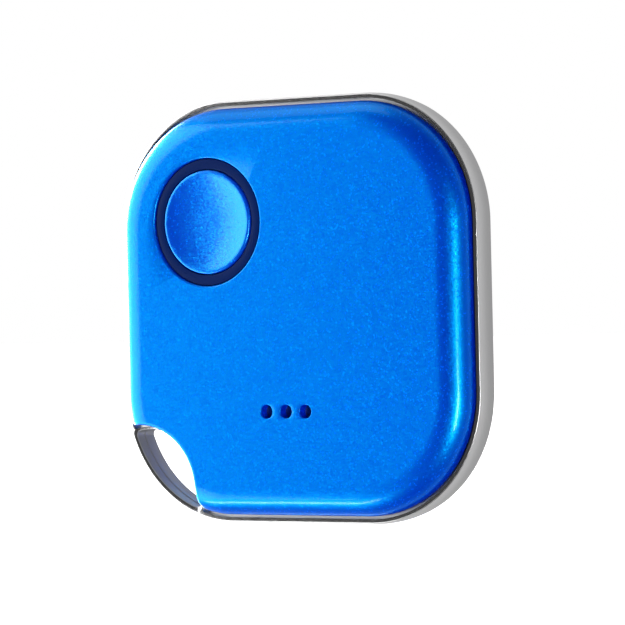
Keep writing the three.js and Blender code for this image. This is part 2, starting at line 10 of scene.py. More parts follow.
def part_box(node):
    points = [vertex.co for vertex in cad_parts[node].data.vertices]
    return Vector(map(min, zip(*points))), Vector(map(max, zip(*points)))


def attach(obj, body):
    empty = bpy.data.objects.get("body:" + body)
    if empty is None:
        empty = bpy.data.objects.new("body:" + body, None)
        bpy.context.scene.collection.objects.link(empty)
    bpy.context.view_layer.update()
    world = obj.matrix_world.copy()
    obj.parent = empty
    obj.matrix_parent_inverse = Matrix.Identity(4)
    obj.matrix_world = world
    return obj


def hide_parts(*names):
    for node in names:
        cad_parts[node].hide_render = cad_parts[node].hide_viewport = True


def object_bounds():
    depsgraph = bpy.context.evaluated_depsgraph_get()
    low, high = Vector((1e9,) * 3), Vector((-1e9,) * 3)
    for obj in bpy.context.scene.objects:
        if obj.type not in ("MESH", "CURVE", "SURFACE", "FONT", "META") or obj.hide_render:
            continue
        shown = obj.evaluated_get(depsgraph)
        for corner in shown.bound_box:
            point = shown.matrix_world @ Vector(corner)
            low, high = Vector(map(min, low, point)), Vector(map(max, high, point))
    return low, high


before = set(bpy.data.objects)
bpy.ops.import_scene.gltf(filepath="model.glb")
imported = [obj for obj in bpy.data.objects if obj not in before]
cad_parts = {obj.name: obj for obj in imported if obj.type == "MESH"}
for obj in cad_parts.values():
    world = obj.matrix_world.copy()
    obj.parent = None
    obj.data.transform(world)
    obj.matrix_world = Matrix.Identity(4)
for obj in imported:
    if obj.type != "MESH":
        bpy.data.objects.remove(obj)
cad_low, cad_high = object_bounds()

# A square tracker tag, standing on the bottom edge of its metal band with its front to -Y.
# Shapes are worked out lying down, in millimetres: x to the right, y up, z above the back face.
# to_part() stands them up and turns them into metres.

MM = 0.001


def box_mm(node):
    """A CAD node's lowest and highest corners in the lying-down millimetres."""
    low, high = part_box(node)
    return (np.array([low[0] / MM, low[2] / MM - HALF, BACK - high[1] / MM]),
            np.array([high[0] / MM, high[2] / MM - HALF, BACK - low[1] / MM]))


HALF = (cad_high[0] - cad_low[0]) / 2 / MM
BACK = cad_high[1] / MM
THICK = (cad_high[1] - cad_low[1]) / MM

band_low, band_high = box_mm("trim_frame")
front_high = box_mm("front_cover")[1]
cap_low, cap_high = box_mm("button_cap")
ring_low, ring_high = box_mm("button_ring")
mesh_low, mesh_high = box_mm("sound_mesh")
can_low, can_high = box_mm("battery_can")
cell_top = box_mm("battery_cap")[1]
gasket_high = box_mm("battery_gasket")[1]

# Both covers end COVER_INSET further in than in the CAD, and the band's lip is wider by as much.
# Their corners are CORNER_EXTRA rounder than ones that run parallel to the band's.
COVER_INSET = 0.15
CORNER_EXTRA = 0.14
BAND_CORNER = HALF * 11 / 18
CASE_HALF = front_high[0] - COVER_INSET
CASE_CORNER = CASE_HALF - (HALF - BAND_CORNER) + CORNER_EXTRA
BAND_FRONT = band_high[2]
BAND_BACK = band_low[2]
LIP = 0.3 + COVER_INSET
LIP_DEPTH = 0.5
BAND_WIDE = 1.0
WALL = 0.9
BACK_WALL = 0.7
GAP = 0.05
FRONT_RIM = BAND_FRONT - LIP_DEPTH + GAP
BACK_RIM = BAND_BACK + LIP_DEPTH - GAP
NOTCH = np.array([-15.35, -15.3])
NOTCH_CASE = 5.7
NOTCH_BAND = 5.25
NOTCH_EASE = 0.3
BUTTON = (cap_low + cap_high)[:2] / 2
RING_OUTER = 5.44
CAP_RADIUS = 4.42
SOUND = (mesh_low + mesh_high)[:2] / 2
SOUND_PITCH = 1.95
SOUND_HOLE = 0.57
CELL = (can_low + can_high)[:2] / 2


# ---- shapes ------------------------------------------------------------------------------
def to_part(points):
    """Lying-down millimetres to the part's frame in metres."""
    p = np.asarray(points, float)
    return np.column_stack([p[:, 0], BACK - p[:, 2], p[:, 1] + HALF]) * MM


def square_depth(p, half, corner):
    """How far inside a rounded square each point lies, negative outside."""
    q = np.abs(p) - (half - corner)
    out = np.hypot(np.maximum(q[:, 0], 0), np.maximum(q[:, 1], 0))
    return corner - out - np.minimum(q.max(axis=1), 0)


def notch_depth(p, radius):
    """How far outside the corner's round cut each point lies."""
    return np.hypot(p[:, 0] - NOTCH[0], p[:, 1] - NOTCH[1]) - radius


def meet(a, b, radius):
    """The depth inside both of two shapes, with the corner where they meet rounded."""
    u, v = np.maximum(radius - a, 0), np.maximum(radius - b, 0)
    return radius - np.hypot(u, v) + np.maximum(np.minimum(a, b) - radius, 0)


def cut_square(half, corner, notch, blend):
    """The depth function of a rounded square with the corner cut out of it."""
    return lambda p: meet(square_depth(p, half, corner), notch_depth(p, notch), blend)


def hit(depth, centre, angles, inset=0.0, reach=30.0):
    """Where rays from centre leave the shape at that depth, found by halving."""
    rays = np.column_stack([np.cos(angles), np.sin(angles)])
    near, far = np.zeros(len(angles)), np.full(len(angles), reach)
    for _ in range(46):
        mid = (near + far) / 2
        inside = depth(centre + rays * mid[:, None]) > inset
        near, far = np.where(inside, mid, near), np.where(inside, far, mid)
    return centre + rays * near[:, None]


def even_angles(depth, centre, spacing, bend):
    """Ray angles that space points evenly along an outline, closer where it turns."""
    dense = np.linspace(0, 2 * math.pi, 12001)[:-1]
    p = hit(depth, centre, dense)
    step = np.roll(p, -1, axis=0) - p
    heading = np.unwrap(np.arctan2(step[:, 1], step[:, 0]))
    turn = np.abs(np.diff(heading, append=heading[-1]))
    cost = np.hypot(step[:, 0], step[:, 1]) / spacing + turn / bend
    total = np.concatenate([[0], np.cumsum(cost)])
    count = int(round(total[-1]))
    return np.interp(np.arange(count) * total[-1] / count, total, np.append(dense, 2 * math.pi))


def circle(centre, radius, count):
    """Points spaced evenly round a circle."""
    t = np.linspace(0, 2 * math.pi, count, endpoint=False)
    return centre + radius * np.column_stack([np.cos(t), np.sin(t)])


class Skin:
    """Gathers one closed mesh from loops of points, strips between them and flat fills."""

    def __init__(self):
        self.points = []
        self.faces = []
        self.kinds = []

    def paint(self, kind):
        """Gives every face made since the last call a material number."""
        self.kinds += [kind] * (len(self.faces) - len(self.kinds))

    def loop(self, xy, z):
        """Adds points at one height, or at a height each, and returns their numbers."""
        start = len(self.points)
        heights = np.broadcast_to(z, (len(xy),))
        self.points += [(x, y, h) for (x, y), h in zip(xy, heights)]
        return np.arange(start, start + len(xy))

    def strip(self, *loops):
        """Closed strips of quads from each loop to the next."""
        for a, b in zip(loops, loops[1:]):
            c, d = np.roll(b, -1), np.roll(a, -1)
            self.faces += [tuple(int(i) for i in quad) for quad in zip(a, b, c, d)]

    def fill(self, outer, *holes):
        """A flat fill inside the outer loop, outside the hole loops."""
        loops = [outer, *holes]
        index = np.concatenate(loops)
        flat = [Vector(self.points[i][:2]) for i in index]
        edges, start = [], 0
        for loop in loops:
            n = len(loop)
            edges += [(start + i, start + (i + 1) % n) for i in range(n)]
            start += n
        verts, _, faces, origins, _, _ = delaunay_2d_cdt(flat, edges, [], 1, 1e-9)
        polygons = [np.array([self.points[i][:2] for i in hole]) for hole in holes]
        for face in faces:
            middle = sum((verts[i] for i in face), Vector((0, 0))) / len(face)
            if not any(inside(middle, polygon) for polygon in polygons):
                self.faces.append(tuple(int(index[origins[i][0]]) for i in face))

    def lathe(self, centre, profile, count, closed=False):
        """A turned surface from [radius, height] pairs; a pair on the axis becomes a fan."""
        loops = []
        for radius, height in profile:
            if radius == 0:
                loops.append(self.loop([centre], height))
            else:
                loops.append(self.loop(circle(centre, radius, count), height))
        if closed:
            loops.append(loops[0])
        for a, b in zip(loops, loops[1:]):
            if len(a) == len(b):
                self.strip(a, b)
            else:
                tip, rim = (a, b) if len(a) == 1 else (b, a)
                self.faces += [(int(tip[0]), int(i), int(j)) for i, j in zip(rim, np.roll(rim, -1))]


def inside(point, polygon):
    """True if a point is inside a polygon of points."""
    x, y = point
    a, b = polygon, np.roll(polygon, -1, axis=0)
    crosses = (a[:, 1] > y) != (b[:, 1] > y)
    rise = np.where(b[:, 1] == a[:, 1], 1, b[:, 1] - a[:, 1])
    at = (b[:, 0] - a[:, 0]) * (y - a[:, 1]) / rise + a[:, 0]
    return bool(np.count_nonzero(crosses & (x < at)) % 2)


SHARP_ANGLE = math.radians(35)


def piece(name, skin, materials, body, stands_for=()):
    """Makes a Blender object of a skin, riding on a body and standing for some CAD nodes."""
    mesh = bpy.data.meshes.new(name)
    mesh.from_pydata(to_part(skin.points).tolist(), [], skin.faces)
    for material in materials:
        mesh.materials.append(material)
    skin.paint(0)
    mesh.polygons.foreach_set("material_index", skin.kinds)
    bm = bmesh.new()
    bm.from_mesh(mesh)
    bmesh.ops.remove_doubles(bm, verts=bm.verts, dist=1e-8)
    bmesh.ops.dissolve_degenerate(bm, edges=bm.edges, dist=1e-9)
    bmesh.ops.recalc_face_normals(bm, faces=bm.faces)
    bm.to_mesh(mesh)
    bm.free()
    for polygon in mesh.polygons:
        polygon.use_smooth = True
    mesh.set_sharp_from_angle(angle=SHARP_ANGLE)
    thing = bpy.data.objects.new(name, mesh)
    bpy.context.collection.objects.link(thing)
    weighted = thing.modifiers.new("flat_faces_stay_flat", "WEIGHTED_NORMAL")
    weighted.keep_sharp = True
    weighted.weight = 100
    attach(thing, body)
    if stands_for:
        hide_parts(*stands_for)


# ---- materials ---------------------------------------------------------------------------
def shader(name, color, roughness, metallic=0.0, **sockets):
    """A Principled material with plain values set on its own sockets."""
    material = bpy.data.materials.new(name)
    material.use_nodes = True
    principled = material.node_tree.nodes["Principled BSDF"]
    principled.inputs["Base Color"].default_value = (*color, 1)
    principled.inputs["Roughness"].default_value = roughness
    principled.inputs["Metallic"].default_value = metallic
    for socket, value in sockets.items():
        principled.inputs[socket.replace("_", " ")].default_value = value
    return material, material.node_tree, principled


def texture(tree, kind, scale, **settings):
    """A procedural texture in millimetres of the part."""
    coordinates = tree.nodes.new("ShaderNodeTexCoord")
    mapping = tree.nodes.new("ShaderNodeMapping")
    mapping.inputs["Scale"].default_value = (1 / MM,) * 3
    tree.links.new(coordinates.outputs["Object"], mapping.inputs["Vector"])
    node = tree.nodes.new(kind)
    tree.links.new(mapping.outputs["Vector"], node.inputs["Vector"])
    node.inputs["Scale"].default_value = scale
    for name, value in settings.items():
        node.inputs[name.replace("_", " ")].default_value = value
    return node


def spread(tree, source, low, high):
    """A 0 to 1 value stretched between two numbers."""
    node = tree.nodes.new("ShaderNodeMapRange")
    node.inputs["To Min"].default_value = low
    node.inputs["To Max"].default_value = high
    tree.links.new(source, node.inputs["Value"])
    return node.outputs["Result"]


def blend_colors(tree, factor, first, second):
    """A colour that runs from the first to the second as the factor goes from 0 to 1."""
    node = tree.nodes.new("ShaderNodeMix")
    node.data_type = "RGBA"
    node.inputs["A"].default_value = (*first, 1)
    node.inputs["B"].default_value = (*second, 1)
    tree.links.new(factor, node.inputs["Factor"])
    return node.outputs["Result"]


def bump(tree, height, strength, distance_mm, principled):
    """Small relief on a material, driven by a 0 to 1 height."""
    node = tree.nodes.new("ShaderNodeBump")
    node.inputs["Strength"].default_value = strength
    node.inputs["Distance"].default_value = distance_mm * MM
    tree.links.new(height, node.inputs["Height"])
    tree.links.new(node.outputs["Normal"], principled.inputs["Normal"])


def flake_blue(name, deep, bright, painted_glint_color, roughness, coat, coat_roughness, lean_most):
    """Blue lacquer over fine metal flakes: each flake is tilted and tinted a little differently, and a few
    flakes lean further and carry a painted glint, a brighter colour that stands in for their sparkle.
    """
    material, tree, principled = shader(
        name, deep, roughness, IOR=4.0, Specular_Tint=(0.0, 0.335, 0.68, 1),
        Coat_Weight=coat, Coat_Roughness=coat_roughness, Coat_IOR=1.45)
    flakes = texture(tree, "ShaderNodeTexVoronoi", 9.0, Randomness=1.0)
    split = tree.nodes.new("ShaderNodeSeparateColor")
    tree.links.new(flakes.outputs["Color"], split.inputs["Color"])
    tree.links.new(spread(tree, split.outputs["Green"], roughness * 0.9, roughness * 1.1),
                   principled.inputs["Roughness"])
    tilt = tree.nodes.new("ShaderNodeVectorMath")
    tilt.operation = "MULTIPLY_ADD"
    tilt.inputs[1].default_value = (2 * lean_most,) * 3
    tilt.inputs[2].default_value = (-lean_most,) * 3
    tree.links.new(flakes.outputs["Color"], tilt.inputs[0])
    few = tree.nodes.new("ShaderNodeMath")
    few.operation = "GREATER_THAN"
    few.inputs[1].default_value = 0.93
    tree.links.new(split.outputs["Blue"], few.inputs[0])
    # Painted highlight: the few flakes get a brighter glint colour in place of the sparkle that light would
    # give them.
    painted_glints = tree.nodes.new("ShaderNodeMix")
    painted_glints.data_type = "RGBA"
    tree.links.new(few.outputs["Value"], painted_glints.inputs["Factor"])
    tree.links.new(blend_colors(tree, split.outputs["Red"], deep, bright), painted_glints.inputs["A"])
    painted_glints.inputs["B"].default_value = (*painted_glint_color, 1)
    tree.links.new(painted_glints.outputs["Result"], principled.inputs["Base Color"])
    further = tree.nodes.new("ShaderNodeVectorMath")
    further.operation = "SCALE"
    tree.links.new(tilt.outputs["Vector"], further.inputs[0])
    tree.links.new(spread(tree, few.outputs["Value"], 1.0, 1.8), further.inputs["Scale"])
    geometry = tree.nodes.new("ShaderNodeNewGeometry")
    lean = tree.nodes.new("ShaderNodeVectorMath")
    lean.operation = "ADD"
    tree.links.new(geometry.outputs["Normal"], lean.inputs[0])
    tree.links.new(further.outputs["Vector"], lean.inputs[1])
    unit = tree.nodes.new("ShaderNodeVectorMath")
    unit.operation = "NORMALIZE"
    tree.links.new(lean.outputs["Vector"], unit.inputs[0])
    tree.links.new(unit.outputs["Vector"], principled.inputs["Normal"])
    return material


def satin_metal(name, color, roughness, grain=3.0, strength=0.12, metallic=1.0):
    """Plated metal with a fine grain and slightly uneven gloss."""
    material, tree, principled = shader(name, color, roughness, metallic=metallic)
    noise = texture(tree, "ShaderNodeTexNoise", grain, Detail=4.0)
    tree.links.new(spread(tree, noise.outputs["Fac"], roughness * 0.75, roughness * 1.3),
                   principled.inputs["Roughness"])
    bump(tree, noise.outputs["Fac"], strength, 0.05, principled)
    return material


def moulded(name, color, roughness, grain=6.0, **sockets):
    """Moulded plastic with a fine spark-eroded texture."""
    material, tree, principled = shader(name, color, roughness, **sockets)
    noise = texture(tree, "ShaderNodeTexNoise", grain, Detail=3.0)
    light = tuple(min(1.0, c * 1.35) for c in color)
    tree.links.new(blend_colors(tree, noise.outputs["Fac"], color, light), principled.inputs["Base Color"])
    bump(tree, noise.outputs["Fac"], 0.2, 0.03, principled)
    return material


# The third colour of each lacquer is the painted glint colour of its few sparkling flakes.
BLUE = flake_blue("blue_flake_lacquer", (0.0, 0.003, 0.33), (0.0, 0.012, 0.45), (0.0, 0.06, 0.75),
                  roughness=0.39, coat=0.16, coat_roughness=0.11, lean_most=0.045)
BUTTON_BLUE = flake_blue("button_flake_lacquer", (0.0, 0.014, 0.41), (0.0, 0.026, 0.53), (0.0, 0.09, 0.8),
                         roughness=0.33, coat=0.32, coat_roughness=0.2, lean_most=0.07)
NAVY = moulded("navy_gloss_ring", (0.0, 0.006, 0.05), 0.34, IOR=1.3, Specular_Tint=(0.0, 0.1, 0.4, 1))
SILVER = satin_metal("satin_silver", (0.47, 0.47, 0.475), 0.33)
POLISHED = satin_metal("polished_band_lip", (0.47, 0.47, 0.475), 0.12, strength=0.04)
LOOP_WALL = satin_metal("unpolished_loop_wall", (0.17, 0.17, 0.172), 0.42, metallic=0.35)
STEEL = satin_metal("stainless_steel", (0.60, 0.60, 0.61), 0.3, grain=8.0)
GOLD = satin_metal("gold_plate", (0.83, 0.58, 0.24), 0.28, grain=10.0)
BRASS = satin_metal("buzzer_brass", (0.72, 0.52, 0.22), 0.32, grain=5.0)
SOLDER = satin_metal("solder_tin", (0.66, 0.67, 0.69), 0.36, grain=12.0, strength=0.3)
BLACK = moulded("black_moulding", (0.012, 0.012, 0.014), 0.55)
GREY = moulded("grey_moulding", (0.035, 0.036, 0.04), 0.5)
PACKAGE = moulded("chip_moulding", (0.016, 0.016, 0.018), 0.42, grain=18.0)
RUBBER = moulded("cell_gasket_polymer", (0.02, 0.05, 0.16), 0.45)
CORE = moulded("cell_active_core", (0.05, 0.05, 0.055), 0.8)
FERRITE = moulded("ferrite_grey", (0.045, 0.043, 0.043), 0.6, grain=14.0)
TAN = moulded("capacitor_tan", (0.34, 0.2, 0.1), 0.4, grain=16.0)
CERAMIC = moulded("white_ceramic", (0.72, 0.7, 0.64), 0.35, grain=14.0)
LED_LENS = moulded("led_silicone", (0.75, 0.6, 0.12), 0.25, grain=20.0)
MARK = moulded("printed_grey", (0.3, 0.3, 0.3), 0.5, grain=20.0)


def cell_steel():
    """Drawn steel with the fine turned rings that the press leaves round the cell's middle."""
    material, tree, principled = shader("turned_cell_steel", (0.62, 0.62, 0.62), 0.27, metallic=1.0)
    rings = texture(tree, "ShaderNodeTexWave", 9.0, Distortion=1.2, Detail=3.0)
    rings.wave_type = "RINGS"
    rings.rings_direction = "Y"
    middle = to_part([[*CELL, 0.0]])[0] / MM
    rings.inputs["Vector"].links[0].from_node.inputs["Location"].default_value = (-middle[0], 0, -middle[2])
    tree.links.new(spread(tree, rings.outputs["Fac"], 0.2, 0.36), principled.inputs["Roughness"])
    bump(tree, rings.outputs["Fac"], 0.12, 0.02, principled)
    return material


def woven_mesh():
    """The dust mesh: threads one over another at a quarter of a millimetre."""
    material, tree, principled = shader("woven_dust_mesh", (0.002, 0.012, 0.10), 0.6)
    across = texture(tree, "ShaderNodeTexWave", 4.0)
    across.bands_direction = "X"
    along = texture(tree, "ShaderNodeTexWave", 4.0)
    along.bands_direction = "Z"
    weave = tree.nodes.new("ShaderNodeMath")
    weave.operation = "MAXIMUM"
    tree.links.new(across.outputs["Fac"], weave.inputs[0])
    tree.links.new(along.outputs["Fac"], weave.inputs[1])
    dark, light = (0.001, 0.006, 0.05), (0.004, 0.03, 0.26)
    tree.links.new(blend_colors(tree, weave.outputs["Value"], dark, light), principled.inputs["Base Color"])
    bump(tree, weave.outputs["Value"], 0.6, 0.05, principled)
    return material


def solder_mask():
    """Green solder mask that stands a little proud over the copper areas under it."""
    material, tree, principled = shader("green_solder_mask", (0.006, 0.07, 0.035), 0.28)
    copper = texture(tree, "ShaderNodeTexVoronoi", 0.42, Randomness=0.8)
    copper.distance = "CHEBYCHEV"
    copper.feature = "F1"
    edge = tree.nodes.new("ShaderNodeMath")
    edge.operation = "GREATER_THAN"
    edge.inputs[1].default_value = 0.62
    tree.links.new(copper.outputs["Distance"], edge.inputs[0])
    weave = texture(tree, "ShaderNodeTexNoise", 5.0, Detail=4.0)
    over, bare = (0.010, 0.105, 0.05), (0.004, 0.055, 0.03)
    tree.links.new(blend_colors(tree, edge.outputs["Value"], over, bare), principled.inputs["Base Color"])
    bump(tree, weave.outputs["Fac"], 0.15, 0.02, principled)
    return material


CELL_STEEL = cell_steel()
DUST_MESH = woven_mesh()
BOARD_GREEN = solder_mask()
TRACE = moulded("masked_copper", (0.014, 0.14, 0.06), 0.3)

CARRIED = {
    "switch_body": BLACK, "switch_plate": STEEL, "switch_plunger": GREY, "piezo_plate": BRASS,
    "piezo_ceramic": CERAMIC, "piezo_spring_1": STEEL, "piezo_spring_2": STEEL, "sound_mesh": DUST_MESH,
    "circuit_board": BOARD_GREEN, "contact_positive": GOLD, "contact_negative": GOLD,
    "battery_core": CORE,
}
for node, material in CARRIED.items():
    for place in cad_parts[node].material_slots:
        place.material = material


# ---- covers ------------------------------------------------------------------------------
# THETA holds the directions from the middle in which every outline round the case has a point.
ORIGIN = np.zeros(2)
case_outline = cut_square(CASE_HALF, CASE_CORNER, NOTCH_CASE, 0.9)
THETA = even_angles(case_outline, ORIGIN, 0.3, math.radians(5))


def edge_drop(depth, wide, deep):
    """How far a rim rounded as a quarter ellipse falls at a depth in from the side."""
    share = np.clip(1 - depth / wide, 0, 1)
    return deep * (1 - np.sqrt(1 - share ** 2))


def eased_lip(step, ease):
    """How far outside a hole, and how far down, its rounded lip is at each of five steps."""
    turn = math.radians(22.5 * step)
    return ease * (1 - math.sin(turn)), ease * (1 - math.cos(turn))


def cover_skin(face, rim, ceiling, wide, deep, holes, slot=None):
    """A cover's closed skin: a rounded outer face, side, rim, inner wall and inner face.
    holes are (centre, radius, ease, count). slot is (half width, depth, height from the rim)."""
    bevel = 0.08
    slot_end = 0.15
    slot_edge = 0.02
    notch_reach, notch_fade = 2.2, 1.2
    fillet = ((0.0, 0.7), (0.2, 0.2), (0.7, 0.0))
    skin = Skin()
    way = 1 if face > rim else -1
    edge = hit(case_outline, ORIGIN, THETA)
    rays = np.column_stack([np.cos(THETA), np.sin(THETA)])
    turns = np.radians(np.linspace(90, 0, 19))
    insets = [*(wide * 1.12 * (1 - np.sin(turns))), 0.004, 0.02, wide * 1.25, wide * 1.45]
    loops = []
    for inset in sorted(insets):
        p = edge - rays * inset
        side = square_depth(p, CASE_HALF, CASE_CORNER)
        near_notch = np.clip((notch_reach - notch_depth(p, NOTCH_CASE)) / notch_fade, 0, 1)
        drop = edge_drop(side, wide, deep)
        drop += near_notch * edge_drop(np.maximum(case_outline(p), 0), NOTCH_EASE, NOTCH_EASE)
        loops.append(skin.loop(p, face - way * drop))
    skin.strip(*loops)
    tops, inner = [], []
    for centre, radius, ease, count in holes:
        lips = []
        for step in range(5):
            out, fall = eased_lip(step, ease)
            lips.append(skin.loop(circle(centre, radius + out, count), face - way * fall))
        bottom = skin.loop(circle(centre, radius, count), ceiling)
        skin.strip(*lips, bottom)
        tops.append(lips[0])
        inner.append(bottom)
    skin.fill(loops[-1], *tops)
    wall_loops = [loops[0]]
    if slot:
        half_wide, depth, height = slot
        cut_in = np.clip((half_wide - np.abs(edge[:, 0])) / slot_end, 0, 1) * (edge[:, 1] < 0)
        moved = edge - rays * (cut_in * depth)[:, None]
        wall_loops.append(skin.loop(edge, rim + way * (height + slot_edge)))
        wall_loops.append(skin.loop(moved, rim + way * (height - slot_edge)))
    else:
        moved = edge
    wall_loops.append(skin.loop(moved, rim + way * bevel))
    wall_loops.append(skin.loop(moved - rays * bevel, rim))
    cavity = cut_square(CASE_HALF - WALL, CASE_CORNER - WALL, NOTCH_CASE + 0.85, 0.4)
    wall_loops.append(skin.loop(hit(cavity, ORIGIN, THETA), rim))
    for inset, fall in fillet:
        wall_loops.append(skin.loop(hit(cavity, ORIGIN, THETA, inset), ceiling - way * fall))
    skin.strip(*wall_loops)
    skin.fill(wall_loops[-1], *inner)
    return skin


SNAP_HALF = 16.9
SNAP_CORNER = 9.9
SNAP_THICK = 0.6
SNAP_NOTCH_THICK = 0.35
SNAP_ROOT = 0.15
SEAM = (BAND_BACK + BAND_FRONT) / 2


def snap_wall(skin, low, high):
    """The thin wall under a cover's rim that snaps inside the band, from one height to another."""
    notch = NOTCH_BAND + BAND_WIDE + GAP
    outer = cut_square(SNAP_HALF, SNAP_CORNER, notch, 0.2)
    inner = cut_square(SNAP_HALF - SNAP_THICK, SNAP_CORNER - SNAP_THICK, notch + SNAP_NOTCH_THICK, 0.2)
    a, b = hit(outer, ORIGIN, THETA), hit(inner, ORIGIN, THETA)
    rows = [skin.loop(a, low), skin.loop(a, high - 0.06), skin.loop(a * 0.997, high),
            skin.loop(b, high), skin.loop(b, low)]
    skin.strip(*rows, rows[0])


def stake(skin, centre, radius, head, low, high, thick):
    """A pin with a melted, domed head at its low end."""
    dome = [(head * math.cos(t), low + thick * (1 - math.sin(t))) for t in np.radians((65, 40, 18, 0))]
    under = low + thick
    profile = [(0, low), *dome, (head - 0.03, under), (radius, under), (radius, high), (0, high)]
    skin.lathe(np.array(centre), profile, 32)


sound_holes = [(SOUND + np.array([step * SOUND_PITCH, 0]), SOUND_HOLE, 0.1, 40) for step in (-1, 0, 1)]
front_holes = [(BUTTON, RING_OUTER, 0.16, 160), *sound_holes]
COVER_PINS = [(12.0, 11.8), (12.6, -10.6), (-12.9, 1.5)]
front_skin = cover_skin(THICK, FRONT_RIM, THICK - WALL, wide=2.4, deep=2.0, holes=front_holes)
snap_wall(front_skin, SEAM + GAP, FRONT_RIM + SNAP_ROOT)
for pin in COVER_PINS:
    stake(front_skin, pin, radius=0.55, head=0.9, low=3.9, high=THICK - WALL + GAP, thick=0.25)
piece("front_shell", front_skin, [BLUE], "case", ["front_cover"])


def cell_rib(skin):
    """The low round rib on the back cover that the coin cell sits inside."""
    inner, outer, bevel = 10.3, 10.8, 0.05
    root, top = BACK_WALL - 0.1, 1.05
    profile = [(inner, root), (outer, root), (outer, top - bevel), (outer - bevel, top),
               (inner + bevel, top), (inner, top - bevel)]
    skin.lathe(CELL, profile, 120, closed=True)


back_skin = cover_skin(0.0, BACK_RIM, BACK_WALL, wide=1.8, deep=1.6, holes=[], slot=(2.2, 0.45, 0.55))
snap_wall(back_skin, BACK_RIM - SNAP_ROOT, SEAM - GAP)
cell_rib(back_skin)
piece("back_shell", back_skin, [BLUE], "rear_shell", ["back_cover"])


# ---- metal band and key loop -------------------------------------------------------------
def whole_band(p):
    """How far inside the band's outline each point lies, with the corner not cut."""
    return square_depth(p, HALF, BAND_CORNER)


def loop_gap(bar):
    """The depth function of the gap between the case and a key loop of that thickness."""
    return lambda p: meet(square_depth(p, HALF - bar, BAND_CORNER - bar), -notch_depth(p, NOTCH_BAND), 0.45)


def gap_walls(skin):
    """The gap's wall, with eased ends and a step where the loop is thinner towards the front."""
    middle = NOTCH + np.array([2.3, 2.3])
    ease, half_step = 0.1, 0.05
    front_bar, back_bar, step_z, blend = 0.63, 0.75, 3.2, 0.03
    phi = even_angles(loop_gap(back_bar), middle, 0.22, math.radians(6))
    rows = [(front_bar, -ease, BAND_FRONT), (front_bar, -ease * 0.3, BAND_FRONT - ease * 0.3),
            (front_bar, 0, BAND_FRONT - ease), (front_bar, 0, step_z + half_step),
            (front_bar + blend, 0, step_z), (back_bar - blend, 0, step_z),
            (back_bar, 0, step_z - half_step), (back_bar, 0, BAND_BACK + ease),
            (back_bar, -ease * 0.3, BAND_BACK + ease * 0.3), (back_bar, -ease, BAND_BACK)]
    return [skin.loop(hit(loop_gap(bar), middle, phi, inset, 12.0), z) for bar, inset, z in rows]


def band_skin():
    """The band, with eased outer edges, the recess for each cover and the loop's curved gap.
    Its outside is kind 0, the gap's wall kind 1 and the flat front and back edges kind 2."""
    skin = Skin()
    ease = 0.08
    crown = 0.10
    lip = cut_square(HALF - LIP, BAND_CORNER - LIP, NOTCH_BAND + 0.25, 0.3)
    thick = cut_square(HALF - BAND_WIDE, BAND_CORNER - BAND_WIDE, NOTCH_BAND + BAND_WIDE, 0.3)
    turns = np.radians(np.linspace(0, 90, 6))
    half_deep = (BAND_FRONT - BAND_BACK) / 2
    profile = [(crown + ease * (1 - math.sin(t)), half_deep - ease * (1 - math.cos(t))) for t in turns]
    profile += [(crown * h * h, h * (half_deep - ease)) for h in (0.8, 0.6, 0.4, 0.2)]
    profile += [(0.0, 0.0), *((inset, -height) for inset, height in profile[::-1])]
    outer = [skin.loop(hit(whole_band, ORIGIN, THETA, inset), SEAM + height) for inset, height in profile]
    skin.strip(*outer)
    lip_edge, thick_edge = hit(lip, ORIGIN, THETA), hit(thick, ORIGIN, THETA)
    ledge_front, ledge_back = BAND_FRONT - LIP_DEPTH, BAND_BACK + LIP_DEPTH
    inner = [skin.loop(lip_edge, BAND_FRONT), skin.loop(lip_edge, ledge_front),
             skin.loop(thick_edge, ledge_front), skin.loop(thick_edge, ledge_back),
             skin.loop(lip_edge, ledge_back), skin.loop(lip_edge, BAND_BACK)]
    skin.strip(*inner)
    walls = gap_walls(skin)
    skin.paint(0)
    skin.strip(*walls)
    skin.paint(1)
    skin.fill(outer[0], inner[0], walls[0])
    skin.fill(outer[-1], inner[-1], walls[-1])
    skin.paint(2)
    return skin


piece("metal_band", band_skin(), [SILVER, LOOP_WALL, POLISHED], "case", ["trim_frame"])


# ---- button ------------------------------------------------------------------------------
def rounded(profile_corner, radius, start, end, steps=5):
    """Points of a quarter round on a turned profile, from one angle to another in degrees."""
    r0, z0 = profile_corner
    turns = np.radians(np.linspace(start, end, steps))
    return [(r0 + radius * math.cos(t), z0 + radius * math.sin(t)) for t in turns]


def cap_skin():
    """The push button's cap: a dished top with a crisp rounded rim, and a flange behind."""
    skin = Skin()
    top, dish, rim = cap_high[2], 0.4, 0.16
    flange, flange_top, flange_back = 5.0, 4.78, 4.56
    hollow, hollow_top, stem = 3.9, 5.0, 0.9
    dish_radius = CAP_RADIUS - 0.3
    bowl = [(dish_radius * s, top - dish * (1 - s ** 2.6)) for s in np.linspace(0, 1, 21)[1:]]
    profile = [(0, top - dish), *bowl, *rounded((CAP_RADIUS - rim, top - rim), rim, 90, 0),
               (CAP_RADIUS, flange_top), (flange, flange_top), (flange, flange_back),
               (hollow, flange_back), (hollow, hollow_top), (stem, hollow_top),
               (stem, cap_low[2]), (0, cap_low[2])]
    skin.lathe(BUTTON, profile, 160)
    return skin


